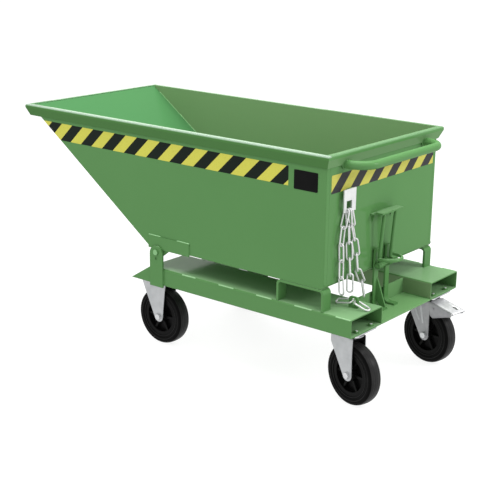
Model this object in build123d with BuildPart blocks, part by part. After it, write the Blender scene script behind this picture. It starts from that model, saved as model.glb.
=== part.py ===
"""Tipping hopper on four castors, with a lift-off latch, a push handle and a securing chain.

Millimetres, +Z up, the floor at z = 0. The lip of the hopper points to -X, the push handle and
the braked swivel castors are at +X, and the near side is -Y. The origin is on the floor under
the middle of the whole length and width.
"""

import os
from math import atan2, cos, pi, radians, sin, sqrt, tan

from build123d import *

# Hopper of folded sheet
rim_length = 1319.0
rim_width = 662.0
hopper_depth = 412.0
rim_reach = 15.5
rim_depth = 40.0
rim_lip = 12.0
rim_foot = 3.5
rim_round = 6.0
rim_wall = 2.5
sheet = 3.0
floor_gap = 70.0
floor_length = 720.0
lip_inset = 6.0
rear_bend = 12.0
foot_bend = 10.0
seam_width = 17.0
seam_notch = 14.0
corner_round = 4.0

# Pieces welded to the hopper
doubler_length = 182.0
doubler_height = 44.0
doubler_thickness = 3.0
doubler_drop = 5.0
doubler_inset = 0.5
lug_thickness = 8.0
lug_radius = 22.0
lug_length = 76.0
lug_edge = 1.0
handle_diameter = 27.0
handle_wall = 2.5
handle_width = 456.0
handle_reach = 77.0
handle_drop = 38.0
handle_bend = 60.0
catch_rise = 185.0
catch_thickness = 5.0
catch_reach = 15.0
catch_width = 131.0
catch_chamfer = 10.0
catch_web = 5.0
catch_web_drop = 26.0

# Tipping pivot
pivot_ahead = 41.0
pivot_below = 15.0
pivot_diameter = 16.0
pivot_hex = 24.0
pivot_head = 5.0
pivot_head_diameter = 21.0
pivot_head_chamfer = 1.5
pivot_nut = 12.5
bracket_thickness = 6.0
bracket_width = 58.0
bracket_above = 22.0
bracket_below = 5.0
bracket_hole = 9.0
running_gap = 0.05
side_gap = 0.6
seat_gap = 0.4

# Chassis
beam_width = 173.0
beam_height = 60.0
beam_wall = 4.0
beam_round = 6.0
beam_overhang = 106.5
nose_ahead = 69.0
nose_cut = 94.0
rear_angle_depth = 111.0
rear_angle_height = 55.0
rear_angle_wall = 5.0
front_channel_width = 60.0
front_channel_height = 55.0
front_channel_wall = 5.0
front_channel_ahead = 107.0
support_length = 178.0
support_width = 40.0
support_bar = 8.0
support_bend = 16.0
support_from_rear = -2.0
support_inset = 2.0

# Latch
bar_width = 23.0
bar_thickness = 6.0
post_pitch = 66.0
post_gap = 5.0
post_above = 55.0
post_foot = 45.0
post_bend = 16.0
gusset_height = 99.0
gusset_foot = 36.0
hinge_rise = 87.0
hinge_rod = 12.0
hinge_tube = 20.0
hinge_gap = 0.3
ear_thickness = 6.0
hook_clear = 1.2
hook_over = 1.0
hook_depth = 28.0
hook_thickness = 5.0
hook_width = 122.0
arm_room = 10.0
loop_diameter = 11.0
loop_rise = 23.0
loop_reach = 48.0
loop_spread = 9.0
latch_y = -8.0

# Castors
castor_rise = 45.0
castor_inset = 5.0
castor_plate = 4.0
plate_length = 135.0
plate_width = 110.0
hole_length = 105.0
hole_width = 80.0
castor_bolt = 10.0
castor_hex = 17.0
castor_head = 6.4
castor_nut = 6.0
bolt_rise = 12.0
bolt_play = 1.0
wheel_diameter = 200.0
wheel_width = 47.0
tread_width = 18.0
tyre_shoulder = 14.0
shoulder_bulge = 0.75
bead_inset = 2.5
rim_radius = 70.0
rim_inset = 3.5
dish_radius = 57.0
web_half = 4.0
hub_radius = 22.0
wheel_ribs = 6
rib_thickness = 8.0
rib_half = 15.0
wheel_fit = 0.1
axle_diameter = 12.0
axle_hex = 19.0
axle_head = 7.5
fork_thickness = 4.0
fork_play = 0.3
hub_half = 25.7
fork_foot = 18.5
fork_shoulder = 34.0
fixed_shoulder = 12.0
fork_bend = 9.0
swivel_x = 40.5
swivel_trail = 28.0
swivel_near_yaw = -11.8
swivel_far_yaw = -9.6
swivel_front = 48.0
swivel_back = 45.0
crown_gap = 26.0
crown_radius = 46.0
race_radius = 34.0
race_wall = 4.0
race_gap = 1.5
kingpin = 16.0
kingpin_head = 14.0
fixed_ahead = 14.5
fixed_front = 82.0
fixed_back = 33.0

# Brake on the far swivel castor
brake_pin = 8.0
brake_pin_x = 64.0
brake_pin_rise = 3.0
brake_ear = 13.0
brake_skirt = 2.5
brake_gap = 0.4
pedal_start = 49.0
pedal_end = 146.0
pedal_rise = 25.0
pedal_end_rise = 7.0
pedal_skirt_low = 30.0
pedal_plate = 3.0

# Chain and what holds it
chain_wire = 6.0
chain_pitch = 54.0
chain_width = 24.0
chain_play = 1.3
chain_y = -211.0
strand_places = {"near": -7.7, "middle": -0.7, "far": 6.5}
strand_turns = {
    "near": (8.0, 88.0, 170.0, 85.0),
    "middle": (17.6, 115.0, 35.0, 120.0),
    "far": (17.6, 115.0, 35.0, 120.0, 35.0),
}
strand_leans = {
    "near": (-18.0, -8.0, 4.0, 2.0),
    "middle": (7.0, 4.0, 6.0, 7.0),
    "far": (17.0, 18.0, 16.0, 10.0, 32.0),
}
hanger_width = 63.0
hanger_rise = 297.0
hanger_height = 71.0
hanger_foot = 38.0
hanger_plate = 4.0
hanger_stand = 11.0
hanger_slot = 28.0
hanger_slot_shift = -4.0
hanger_bar = 5.0
hanger_round = 1.9
hanger_slot_height = 30.0
eye_behind = 46.0
eye_inset = 16.0
eye_plate = 6.0
eye_height = 36.0
eye_width = 34.0
eye_hole = 20.0
eye_hole_height = 20.0
quick_wire = 7.0
quick_width = 30.0
quick_length = 60.0

# Shared heights, from the floor up
castor_height = wheel_diameter + castor_rise
axle_z = wheel_diameter / 2
crown_height = wheel_diameter + crown_gap
plate_bottom = castor_height - castor_plate
brake_pin_z = wheel_diameter + brake_pin_rise
pedal_top = wheel_diameter + pedal_rise
pedal_low = wheel_diameter + pedal_end_rise
beam_bottom = castor_height
beam_top = beam_bottom + beam_height
floor_height = beam_top + floor_gap
rim_height = floor_height + hopper_depth
pivot_z = floor_height - pivot_below
bracket_top = pivot_z + bracket_above
bracket_bottom = beam_bottom - bracket_below
catch_height = floor_height + catch_rise
handle_height = rim_height - handle_drop
hinge_height = beam_top + hinge_rise
post_top = hinge_height + post_above
loop_height = hinge_height + loop_rise
hanger_top = floor_height + hanger_rise

# Shared widths, from the middle outwards
wall_y = rim_width / 2 - rim_reach
bracket_y = wall_y + doubler_thickness + side_gap
beam_outer_y = bracket_y
beam_inner_y = beam_outer_y - beam_width
beam_y = (beam_outer_y + beam_inner_y) / 2
castor_y = beam_y - castor_inset
eye_y = eye_inset - beam_y
shoulder_y = (tread_width + shoulder_bulge * (wheel_width - tread_width)) / 2
shoulder_drop = (1 - shoulder_bulge) * tyre_shoulder
fork_inner = hub_half + fork_play
fork_outer = fork_inner + fork_thickness
pedal_half = fork_outer + brake_gap + brake_skirt

# Shared lengths, with the origin midway between the lip and the end of the brake pedal
pedal_turn = radians(swivel_far_yaw)
pedal_reach = pedal_end * cos(pedal_turn) - pedal_half * sin(pedal_turn)
total_length = rim_length - rim_reach + swivel_x + pedal_reach
lip_x = -total_length / 2
lip_wall_x = lip_x + rim_reach
rear_x = lip_x + rim_length - rim_reach
foot_x = rear_x - floor_length
slope = atan2(rim_height - floor_height, foot_x - lip_x - lip_inset)
lip_cut_z = floor_height + (foot_x - lip_wall_x) * tan(slope)
pivot_x = foot_x + pivot_ahead
fixed_x = foot_x - fixed_ahead
swivel_kingpin_x = rear_x + swivel_x
beam_rear_x = rear_x + beam_overhang
beam_nose_x = fixed_x - nose_ahead
beam_length = beam_rear_x - beam_nose_x
angle_x = beam_rear_x - rear_angle_depth
post_x = rear_x + post_gap
hinge_x = post_x + bar_thickness + hinge_gap + hinge_tube / 2
eye_x = rear_x + eye_behind

os.makedirs("parts", exist_ok=True)
SIDES = (("near", -1), ("far", 1))


def save(part, name):
    """Name one finished piece and write it to its own file."""
    part.label = name
    export_step(part, f"parts/{name}.step")


def placed(seat, plane):
    """The given plane carried to a seat."""
    return Plane(seat * plane.location)


# Hopper: side panels, each folded round the rear corner as a narrow welded seam
with BuildPart() as side_panel_near:
    with BuildSketch(Plane.XZ.offset(wall_y - sheet)) as panel_outline:
        with BuildLine():
            Polyline(
                (lip_wall_x, lip_cut_z),
                (lip_wall_x, rim_height),
                (rear_x, rim_height),
                (rear_x, floor_height),
                (foot_x, floor_height),
                close=True,
            )
        make_face()
        fillet(panel_outline.vertices().group_by(Axis.Y)[0].sort_by(Axis.X)[-1], radius=rear_bend)
        fillet(panel_outline.vertices().group_by(Axis.Y)[0].sort_by(Axis.X)[0], radius=foot_bend)
    extrude(amount=sheet)
    with BuildSketch(Plane.XY.offset(floor_height + seam_notch)):
        with Locations((rear_x, -wall_y)):
            Rectangle(sheet, seam_width, align=(Align.MAX, Align.MIN))
    extrude(amount=rim_height - floor_height - seam_notch)
    with BuildSketch(Plane.XY.offset(floor_height + seam_notch)):
        with Locations((rear_x, -wall_y)):
            Rectangle(corner_round, corner_round, align=(Align.MAX, Align.MIN))
        with Locations((rear_x - corner_round, corner_round - wall_y)):
            Circle(corner_round, mode=Mode.SUBTRACT)
    extrude(amount=rim_height - floor_height - seam_notch, mode=Mode.SUBTRACT)
save(side_panel_near.part, "side_panel_near")

with BuildPart() as side_panel_far:
    mirror(side_panel_near.part, about=Plane.XZ)
save(side_panel_far.part, "side_panel_far")

# Hopper: one sheet folded into the slope, the floor and the rear wall
with BuildPart() as trough:
    with BuildSketch(Plane.XZ) as trough_outline:
        with BuildLine():
            Polyline(
                (lip_wall_x, lip_cut_z),
                (lip_wall_x, rim_height),
                (rear_x, rim_height),
                (rear_x, floor_height),
                (foot_x, floor_height),
                close=True,
            )
        make_face()
        fillet(trough_outline.vertices().group_by(Axis.Y)[0].sort_by(Axis.X)[-1], radius=rear_bend)
        fillet(trough_outline.vertices().group_by(Axis.Y)[0].sort_by(Axis.X)[0], radius=foot_bend)
    extrude(amount=wall_y - sheet, both=True)
    with BuildSketch(Plane.XZ) as trough_room:
        with BuildLine():
            Polyline(
                (lip_wall_x, lip_cut_z + sheet / cos(slope)),
                (lip_wall_x, rim_height),
                (rear_x - sheet, rim_height),
                (rear_x - sheet, floor_height + sheet),
                (foot_x + sheet * tan(slope / 2), floor_height + sheet),
                close=True,
            )
        make_face()
        fillet(trough_room.vertices().group_by(Axis.Y)[0].sort_by(Axis.X)[-1], radius=rear_bend - sheet)
        fillet(trough_room.vertices().group_by(Axis.Y)[0].sort_by(Axis.X)[0], radius=foot_bend - sheet)
    extrude(amount=wall_y, both=True, mode=Mode.SUBTRACT)
    with BuildSketch(Plane.XY.offset(floor_height + seam_notch)):
        with Locations((rear_x, wall_y), (rear_x, -wall_y)):
            Rectangle(2 * sheet, 2 * seam_width)
    extrude(amount=rim_height - floor_height - seam_notch, mode=Mode.SUBTRACT)
save(trough.part, "trough")

# Hopper: hollow rim of folded sheet, mitred at the four corners and open towards the walls
with BuildPart() as rim:
    with BuildLine() as rim_line:
        Polyline(
            (0, -wall_y, rim_height),
            (rear_x, -wall_y, rim_height),
            (rear_x, wall_y, rim_height),
            (lip_wall_x, wall_y, rim_height),
            (lip_wall_x, -wall_y, rim_height),
            close=True,
        )
    rim_plane = Plane(origin=(0, -wall_y, rim_height), x_dir=(0, -1, 0), z_dir=(-1, 0, 0))
    with BuildSketch(rim_plane) as rim_section:
        with BuildLine():
            Polyline(
                (0, 0),
                (rim_reach, 0),
                (rim_reach, -rim_lip),
                (rim_foot, -rim_depth),
                (0, -rim_depth),
                close=True,
            )
        make_face()
        fillet(rim_section.vertices().group_by(Axis.X)[-1].sort_by(Axis.Y)[-1], radius=rim_round)
        with BuildLine():
            Polyline(
                (0, -rim_wall),
                (rim_reach - rim_wall, -rim_wall),
                (rim_reach - rim_wall, -rim_lip),
                (0, -rim_depth + rim_wall),
                close=True,
            )
        make_face(mode=Mode.SUBTRACT)
    sweep(path=rim_line.wire(), transition=Transition.RIGHT)
save(rim.part, "rim")

# Hopper: doubler plates and pivot lugs welded beside the slope foot
for side, hand in SIDES:
    with BuildPart() as doubler:
        with BuildSketch(Plane.XZ.offset(-hand * wall_y)):
            with Locations((foot_x + doubler_inset, floor_height - doubler_drop)):
                Rectangle(doubler_length, doubler_height, align=Align.MIN)
        extrude(amount=-hand * doubler_thickness)
    save(doubler.part, f"doubler_{side}")

    with BuildPart() as pivot_lug:
        with BuildSketch(Plane.XZ.offset(-hand * wall_y)):
            with Locations((pivot_x, pivot_z)):
                Circle(lug_radius)
            with Locations((pivot_x - lug_radius, floor_height)):
                Rectangle(lug_length, lug_edge, align=(Align.MIN, Align.MAX))
            make_hull()
            with Locations((pivot_x, floor_height)):
                Rectangle(rim_length, beam_width, align=(Align.CENTER, Align.MIN), mode=Mode.SUBTRACT)
            with Locations((pivot_x, pivot_z)):
                Circle(pivot_diameter / 2 + running_gap, mode=Mode.SUBTRACT)
        extrude(amount=hand * lug_thickness)
    save(pivot_lug.part, f"pivot_lug_{side}")

# Hopper: bent tube push handle, its ends shaped to the rim
with BuildPart() as push_handle:
    with BuildLine() as handle_line:
        FilletPolyline(
            (rear_x, -handle_width / 2, handle_height),
            (rear_x + handle_reach, -handle_width / 2, handle_height),
            (rear_x + handle_reach, handle_width / 2, handle_height),
            (rear_x, handle_width / 2, handle_height),
            radius=handle_bend,
        )
    with BuildSketch(Plane(origin=(rear_x, -handle_width / 2, handle_height), z_dir=(1, 0, 0))):
        Circle(handle_diameter / 2)
        Circle(handle_diameter / 2 - handle_wall, mode=Mode.SUBTRACT)
    sweep(path=handle_line.wire())
    with BuildSketch(Plane.XZ):
        with BuildLine():
            Polyline(
                (rear_x, rim_height),
                (rear_x + rim_reach, rim_height),
                (rear_x + rim_reach, rim_height - rim_lip),
                (rear_x + rim_foot, rim_height - rim_depth),
                (rear_x, rim_height - rim_depth),
                close=True,
            )
        make_face()
    extrude(amount=rim_width, both=True, mode=Mode.SUBTRACT)
save(push_handle.part, "push_handle")

# Hopper: catch shelf for the latch hook, with two webs under it
with BuildPart() as catch:
    with BuildSketch(Plane.XY.offset(catch_height)) as catch_outline:
        with Locations((rear_x, latch_y)):
            Rectangle(catch_reach, catch_width, align=(Align.MIN, Align.CENTER))
        chamfer(catch_outline.vertices().group_by(Axis.X)[-1], length=catch_chamfer)
    extrude(amount=catch_thickness)
    for y in (-catch_width / 2 + catch_chamfer, catch_width / 2 - catch_chamfer - catch_web):
        with BuildSketch(Plane.XZ.offset(-latch_y - y)):
            with BuildLine():
                Polyline(
                    (rear_x, catch_height),
                    (rear_x + catch_reach - catch_chamfer / 2, catch_height),
                    (rear_x, catch_height - catch_web_drop),
                    close=True,
                )
            make_face()
        extrude(amount=-catch_web)
save(catch.part, "catch")

# Hopper: slotted plate on a foot that holds it off the rear wall, for the chain to hang in
hanger_x = rear_x + hanger_stand + hanger_plate / 2
hanger_bottom = hanger_top - hanger_height
slot_y = chain_y + hanger_slot_shift
with BuildPart() as chain_hanger:
    with BuildSketch(Plane.YZ.offset(rear_x + hanger_stand)):
        with Locations((chain_y, hanger_bottom)):
            Rectangle(hanger_width, hanger_height, align=(Align.CENTER, Align.MIN))
    extrude(amount=hanger_plate)
    with BuildSketch(Plane.YZ.offset(rear_x)):
        with Locations((chain_y + hanger_width / 2, hanger_top - hanger_plate)):
            Rectangle(hanger_foot, 2 * hanger_plate, align=Align.MAX)
    extrude(amount=hanger_stand)
    with BuildSketch(Plane.YZ.offset(rear_x + hanger_stand)):
        with Locations((slot_y, hanger_bottom + hanger_bar)):
            Rectangle(hanger_slot, hanger_slot_height, align=(Align.CENTER, Align.MIN))
    extrude(amount=hanger_plate, mode=Mode.SUBTRACT)
    bar_edges = chain_hanger.edges().filter_by(Axis.Y).filter_by_position(
        Axis.Z, hanger_bottom + hanger_bar - seat_gap, hanger_bottom + hanger_bar + seat_gap)
    fillet(bar_edges, radius=hanger_round)
save(chain_hanger.part, "chain_hanger")

# Chassis: two rectangular tubes that also take fork tines, cut on the slant at the nose
for side, hand in SIDES:
    with BuildPart() as beam:
        with BuildSketch(Plane.XZ.offset(-hand * beam_y)):
            with BuildLine():
                Polyline(
                    (beam_nose_x, beam_bottom),
                    (beam_nose_x + nose_cut, beam_top),
                    (beam_rear_x, beam_top),
                    (beam_rear_x, beam_bottom),
                    close=True,
                )
            make_face()
        extrude(amount=beam_width / 2, both=True)
        fillet(beam.edges().filter_by(Axis.X), radius=beam_round)
        with BuildSketch(Plane.YZ.offset(beam_nose_x)):
            with Locations((hand * beam_y, beam_bottom + beam_height / 2)):
                Rectangle(beam_width - 2 * beam_wall, beam_height - 2 * beam_wall)
        extrude(amount=beam_length, mode=Mode.SUBTRACT)
        with BuildSketch(Plane.XY.offset(beam_bottom)):
            with Locations((swivel_kingpin_x, hand * castor_y), (fixed_x, hand * castor_y)):
                with GridLocations(hole_length, hole_width, 2, 2):
                    Circle((castor_bolt + bolt_play) / 2)
        extrude(amount=beam_wall, mode=Mode.SUBTRACT)
    save(beam.part, f"beam_{side}")

# Chassis: rear angle and front channel between the two tubes
with BuildPart() as crossmember_rear:
    with BuildSketch(Plane.XZ):
        with Locations((angle_x, beam_bottom)):
            Rectangle(rear_angle_depth, rear_angle_wall, align=Align.MIN)
            Rectangle(rear_angle_wall, rear_angle_height, align=Align.MIN)
    extrude(amount=beam_inner_y, both=True)
save(crossmember_rear.part, "crossmember_rear")

with BuildPart() as crossmember_front:
    with BuildSketch(Plane.XZ):
        with Locations((foot_x + front_channel_ahead, beam_bottom)):
            Rectangle(front_channel_width, front_channel_height, align=(Align.CENTER, Align.MIN))
            Rectangle(
                front_channel_width - 2 * front_channel_wall,
                front_channel_height - front_channel_wall,
                align=(Align.CENTER, Align.MIN),
                mode=Mode.SUBTRACT,
            )
    extrude(amount=beam_inner_y, both=True)
save(crossmember_front.part, "crossmember_front")

# Chassis: brackets and bolts of the tipping pivot
for side, hand in SIDES:
    with BuildPart() as pivot_bracket:
        with BuildSketch(Plane.XZ.offset(-hand * bracket_y)):
            with Locations((pivot_x, bracket_bottom)):
                Rectangle(bracket_width, bracket_top - bracket_bottom - bracket_width / 2,
                          align=(Align.CENTER, Align.MIN))
            with Locations((pivot_x, bracket_top - bracket_width / 2)):
                Circle(bracket_width / 2)
            with Locations((pivot_x, pivot_z)):
                Circle(pivot_diameter / 2 + running_gap, mode=Mode.SUBTRACT)
            with Locations((pivot_x, pivot_z - lug_radius)):
                Circle(bracket_hole / 2, mode=Mode.SUBTRACT)
        extrude(amount=-hand * bracket_thickness)
    save(pivot_bracket.part, f"pivot_bracket_{side}")

    bolt_tip = wall_y - lug_thickness - seat_gap - pivot_nut
    head_y = bracket_y + bracket_thickness
    with BuildPart() as pivot_bolt:
        with BuildSketch(Plane.XZ.offset(-hand * head_y)):
            with Locations((pivot_x, pivot_z)):
                Circle(pivot_head_diameter / 2)
        extrude(amount=-hand * pivot_head)
        chamfer(pivot_bolt.edges().filter_by(GeomType.CIRCLE).sort_by(Axis.Y)[-1 if hand > 0 else 0],
                length=pivot_head_chamfer)
        with BuildSketch(Plane.XZ.offset(-hand * bolt_tip)):
            with Locations((pivot_x, pivot_z)):
                Circle(pivot_diameter / 2)
        extrude(amount=-hand * (head_y - bolt_tip))
        with BuildSketch(Plane.XZ.offset(-hand * bolt_tip)):
            with Locations((pivot_x, pivot_z)):
                RegularPolygon(pivot_hex / 2, 6, major_radius=False)
        extrude(amount=-hand * pivot_nut)
        with BuildSketch(Plane.XZ.offset(-hand * (wall_y + seat_gap))):
            with Locations((pivot_x, pivot_z)):
                Circle(pivot_below - doubler_drop - seat_gap)
        extrude(amount=-hand * (bracket_y - wall_y - seat_gap))
    save(pivot_bolt.part, f"pivot_bolt_{side}")

# Chassis: bent flat bars that carry the rear of the hopper floor
for side, hand in SIDES:
    with BuildPart() as support:
        support_high = floor_height - seat_gap - beam_top
        support_x = rear_x - support_from_rear - support_length
        with BuildSketch(Plane.XZ.offset(-hand * (beam_outer_y - support_inset))) as support_outline:
            with Locations((support_x, beam_top)):
                Rectangle(support_length, support_high, align=Align.MIN)
            fillet(support_outline.vertices().group_by(Axis.Y)[-1], radius=support_bend)
        extrude(amount=hand * support_width)
        with BuildSketch(Plane.XZ.offset(-hand * (beam_outer_y - support_inset))) as support_room:
            with Locations((support_x + support_bar, beam_top)):
                Rectangle(support_length - 2 * support_bar, support_high - support_bar, align=Align.MIN)
            fillet(support_room.vertices().group_by(Axis.Y)[-1], radius=support_bend - support_bar)
        extrude(amount=hand * support_width, mode=Mode.SUBTRACT)
    save(support.part, f"support_{side}")

# Latch: bent flat-bar posts on the rear angle, each with an ear for the hinge rod
post_base = beam_bottom + rear_angle_wall
post_inner = (post_pitch - bar_width) / 2
for side, hand in SIDES:
    with BuildPart() as latch_post:
        with BuildSketch(Plane.XZ.offset(-latch_y - hand * post_inner)) as post_outline:
            with BuildLine():
                Polyline(
                    (post_x, post_top),
                    (post_x + bar_thickness, post_top),
                    (post_x + bar_thickness, post_base + bar_thickness),
                    (post_x + post_foot, post_base + bar_thickness),
                    (post_x + post_foot, post_base),
                    (post_x, post_base),
                    close=True,
                )
            make_face()
            fillet(post_outline.vertices().group_by(Axis.Y)[0].sort_by(Axis.X)[0],
                   radius=post_bend + bar_thickness)
            fillet(post_outline.vertices().sort_by_distance(
                (post_x + bar_thickness, post_base + bar_thickness))[0], radius=post_bend)
        extrude(amount=-hand * bar_width)
        with BuildSketch(Plane.XZ.offset(-latch_y - hand * post_inner)):
            with Locations((hinge_x, hinge_height)):
                Circle(hinge_tube / 2)
            with Locations((post_x + bar_thickness / 2, hinge_height)):
                Rectangle(bar_thickness, hinge_tube + bar_thickness)
            make_hull()
            with Locations((hinge_x, hinge_height)):
                Circle(hinge_rod / 2 + running_gap, mode=Mode.SUBTRACT)
        extrude(amount=hand * ear_thickness)
    save(latch_post.part, f"latch_post_{side}")

with BuildPart() as latch_gusset:
    with BuildSketch(Plane.XZ.offset(post_inner - latch_y)):
        with BuildLine():
            Polyline(
                (post_x + bar_thickness, post_base + bar_thickness + post_bend),
                (post_x + bar_thickness, post_base + gusset_height),
                (post_x + bar_thickness + gusset_foot, post_base + bar_thickness),
                (post_x + bar_thickness + post_bend, post_base + bar_thickness),
                close=True,
            )
        make_face()
    extrude(amount=bar_thickness)
save(latch_gusset.part, "latch_gusset")

rod_half = post_inner + bar_width + bar_thickness / 2
with BuildPart() as latch_rod:
    with BuildSketch(Plane.XZ.offset(-latch_y)):
        with Locations((hinge_x, hinge_height)):
            Circle(hinge_rod / 2)
    extrude(amount=rod_half, both=True)
save(latch_rod.part, "latch_rod")

# Latch lever: two leaning arms on tubes, a hand loop and a hook plate on top
hook_z = catch_height + catch_thickness + hook_over
arm_rise = hook_z - hinge_height
arm_top_x = rear_x + catch_reach + arm_room + bar_thickness / 2
arm_lean = atan2(arm_top_x - hinge_x, arm_rise)
latch_arms = []
for side, hand in SIDES:
    arm_y = post_inner + hinge_gap
    with BuildPart() as latch_arm:
        with BuildSketch(Plane.XZ.offset(-latch_y - hand * arm_y)):
            with Locations((hinge_x, hinge_height)):
                Circle(hinge_tube / 2)
            with BuildLine():
                Polyline(
                    (hinge_x - bar_thickness / 2 / cos(arm_lean), hinge_height),
                    (hinge_x + bar_thickness / 2 / cos(arm_lean), hinge_height),
                    (arm_top_x + bar_thickness / 2 / cos(arm_lean), hook_z),
                    (arm_top_x - bar_thickness / 2 / cos(arm_lean), hook_z),
                    close=True,
                )
            make_face()
            with Locations((hinge_x, hinge_height)):
                Circle(hinge_rod / 2 + running_gap, mode=Mode.SUBTRACT)
        extrude(amount=-hand * bar_width)
    save(latch_arm.part, f"latch_arm_{side}")
    latch_arms.append(latch_arm.part)

with BuildPart() as latch_hook:
    with BuildSketch(Plane.XY.offset(hook_z)):
        with Locations((rear_x + catch_reach + hook_clear, latch_y)):
            Rectangle(hook_depth, hook_width, align=(Align.MIN, Align.CENTER))
    extrude(amount=hook_thickness)
    fillet(latch_hook.edges().filter_by(Axis.Z), radius=bar_thickness / 2)
save(latch_hook.part, "latch_hook")

loop_x = hinge_x + (loop_height - hinge_height) * tan(arm_lean)
loop_half = post_pitch / 2 + loop_spread
with BuildPart() as latch_loop:
    with BuildLine() as loop_line:
        loop_near = Line((loop_x, latch_y - loop_half, loop_height),
                         (loop_x + loop_reach - loop_half + bar_thickness, latch_y - loop_half, loop_height))
        loop_far = Line((loop_near @ 1) + (0, 2 * loop_half, 0), (loop_near @ 0) + (0, 2 * loop_half, 0))
        ThreePointArc(loop_near @ 1, (loop_near @ 1) + (loop_half, loop_half, 0), loop_far @ 0)
    with BuildSketch(Plane(origin=loop_near @ 0, z_dir=(1, 0, 0))):
        Circle(loop_diameter / 2)
    sweep(path=loop_line.wire())
    for latch_arm_part in latch_arms:
        add(latch_arm_part, mode=Mode.SUBTRACT)
save(latch_loop.part, "latch_loop")


# Castors: wheels with a black tyre on a ribbed plastic centre
def tyre(seat):
    """Tyre turned about the axle, with rounded shoulders beside a flat tread."""
    with BuildPart() as ring:
        with BuildSketch(placed(seat, Plane.YZ)):
            with BuildLine():
                Polyline(
                    (-wheel_width / 2 + bead_inset, rim_radius + wheel_fit),
                    (-wheel_width / 2, wheel_diameter / 2 - tyre_shoulder),
                    (-shoulder_y, wheel_diameter / 2 - shoulder_drop),
                    (-tread_width / 2, wheel_diameter / 2),
                    (tread_width / 2, wheel_diameter / 2),
                    (shoulder_y, wheel_diameter / 2 - shoulder_drop),
                    (wheel_width / 2, wheel_diameter / 2 - tyre_shoulder),
                    (wheel_width / 2 - bead_inset, rim_radius + wheel_fit),
                    close=True,
                )
            make_face()
        revolve(axis=Axis(seat.position, placed(seat, Plane.XZ).z_dir))
    return ring.part


def wheel_centre(seat):
    """Wheel centre: a hub that runs on the axle, a web with ribs, and a rim."""
    with BuildPart() as centre:
        with BuildSketch(placed(seat, Plane.YZ)):
            with BuildLine():
                Polyline(
                    (-hub_half, axle_diameter / 2 + running_gap),
                    (-hub_half, hub_radius),
                    (-web_half, hub_radius),
                    (-web_half, dish_radius),
                    (-wheel_width / 2 + rim_inset, dish_radius),
                    (-wheel_width / 2 + rim_inset, rim_radius),
                    (wheel_width / 2 - rim_inset, rim_radius),
                    (wheel_width / 2 - rim_inset, dish_radius),
                    (web_half, dish_radius),
                    (web_half, hub_radius),
                    (hub_half, hub_radius),
                    (hub_half, axle_diameter / 2 + running_gap),
                    close=True,
                )
            make_face()
        revolve(axis=Axis(seat.position, placed(seat, Plane.XZ).z_dir))
        rib_middle = (hub_radius + dish_radius) / 2
        with BuildSketch(placed(seat, Plane.XZ)):
            with PolarLocations(rib_middle, wheel_ribs):
                Rectangle(dish_radius - hub_radius + 2 * web_half, rib_thickness)
        extrude(amount=rib_half, both=True)
    return centre.part


def axle(seat):
    """Axle bolt with its head and nut outside the fork legs."""
    with BuildPart() as bolt:
        with BuildSketch(placed(seat, Plane.XZ)):
            Circle(axle_diameter / 2)
        extrude(amount=fork_outer, both=True)
        for face_y in (fork_outer, -fork_outer - axle_head):
            with BuildSketch(placed(seat, Plane.XZ.offset(face_y))):
                RegularPolygon(axle_hex / 2, 6, major_radius=False)
            extrude(amount=axle_head)
    return bolt.part


def fork(seat, top, front, back, trail, shoulder):
    """Fork of one bent plate, its legs narrowing to the axle, at the seat of its kingpin."""
    with BuildPart() as bent:
        with BuildSketch(placed(seat, Plane.YZ)) as bent_section:
            with Locations((0, top)):
                Rectangle(2 * fork_outer, top - axle_z + fork_foot, align=(Align.CENTER, Align.MAX))
            fillet(bent_section.vertices().group_by(Axis.Y)[-1], radius=fork_bend)
        extrude(amount=wheel_diameter, both=True)
        with BuildSketch(placed(seat, Plane.YZ)) as bent_room:
            with Locations((0, top - fork_thickness)):
                Rectangle(2 * fork_inner, top - axle_z + fork_foot, align=(Align.CENTER, Align.MAX))
            fillet(bent_room.vertices().group_by(Axis.Y)[-1], radius=fork_bend - fork_thickness)
        extrude(amount=wheel_diameter, both=True, mode=Mode.SUBTRACT)
        with BuildSketch(placed(seat, Plane.XZ)):
            with Locations((trail, axle_z)):
                Circle(fork_foot)
            with Locations((-front, top)):
                Rectangle(front + back, shoulder, align=(Align.MIN, Align.MAX))
            make_hull()
            with Locations((trail, axle_z)):
                Circle(axle_diameter / 2 + running_gap, mode=Mode.SUBTRACT)
        extrude(amount=wheel_diameter, both=True, mode=Mode.INTERSECT)
    return bent.part


def seat_at(x, y, z, yaw):
    """Place and heading of a castor piece."""
    return Location((x, y, z), (0, 0, yaw))


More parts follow.
